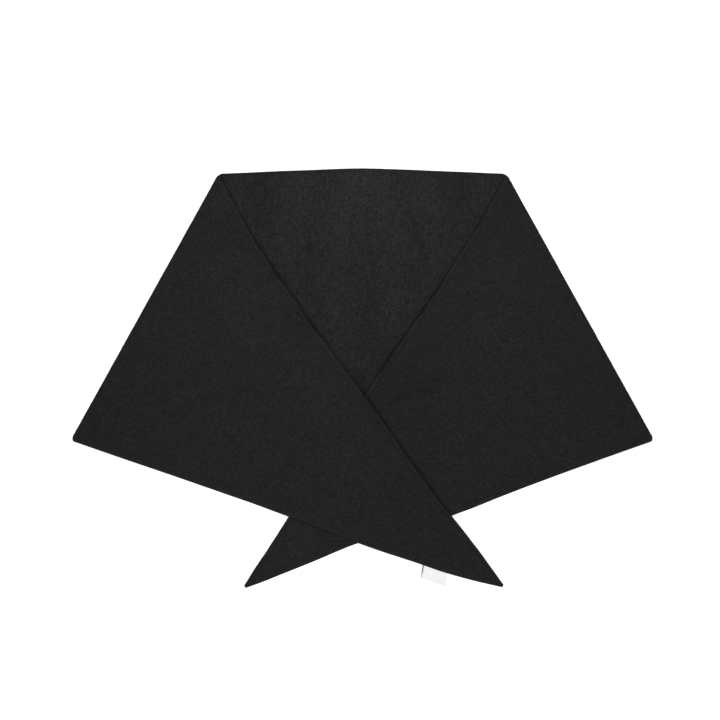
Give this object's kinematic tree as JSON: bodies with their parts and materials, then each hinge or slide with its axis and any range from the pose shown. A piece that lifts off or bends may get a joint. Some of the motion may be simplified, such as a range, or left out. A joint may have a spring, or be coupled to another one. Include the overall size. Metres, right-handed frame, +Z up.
{
  "type": "muffler scarf",
  "caption": "Thick brushed-cloth muffler with pointed tails, laid flat and folded so that the tails cross in front.",
  "frame": {"origin": "on the surface that the scarf lies on, under the middle of its laid outline", "axes": "+Z up from that surface, +Y towards the neck edge, +X towards the right-hand fold of the laid scarf seen from above with the neck edge at the top"},
  "size_m": [0.675, 0.4886, 0.0098],
  "materials": {
    "cloth": "black brushed wool-like cloth, matte with a short soft nap",
    "tape": "smooth white woven tape, slightly satin"
  },
  "bodies": {
    "root": {"back_stretch": "cloth", "right_front": "cloth", "left_front": "cloth", "label": "tape"}
  },
  "joints": []
}
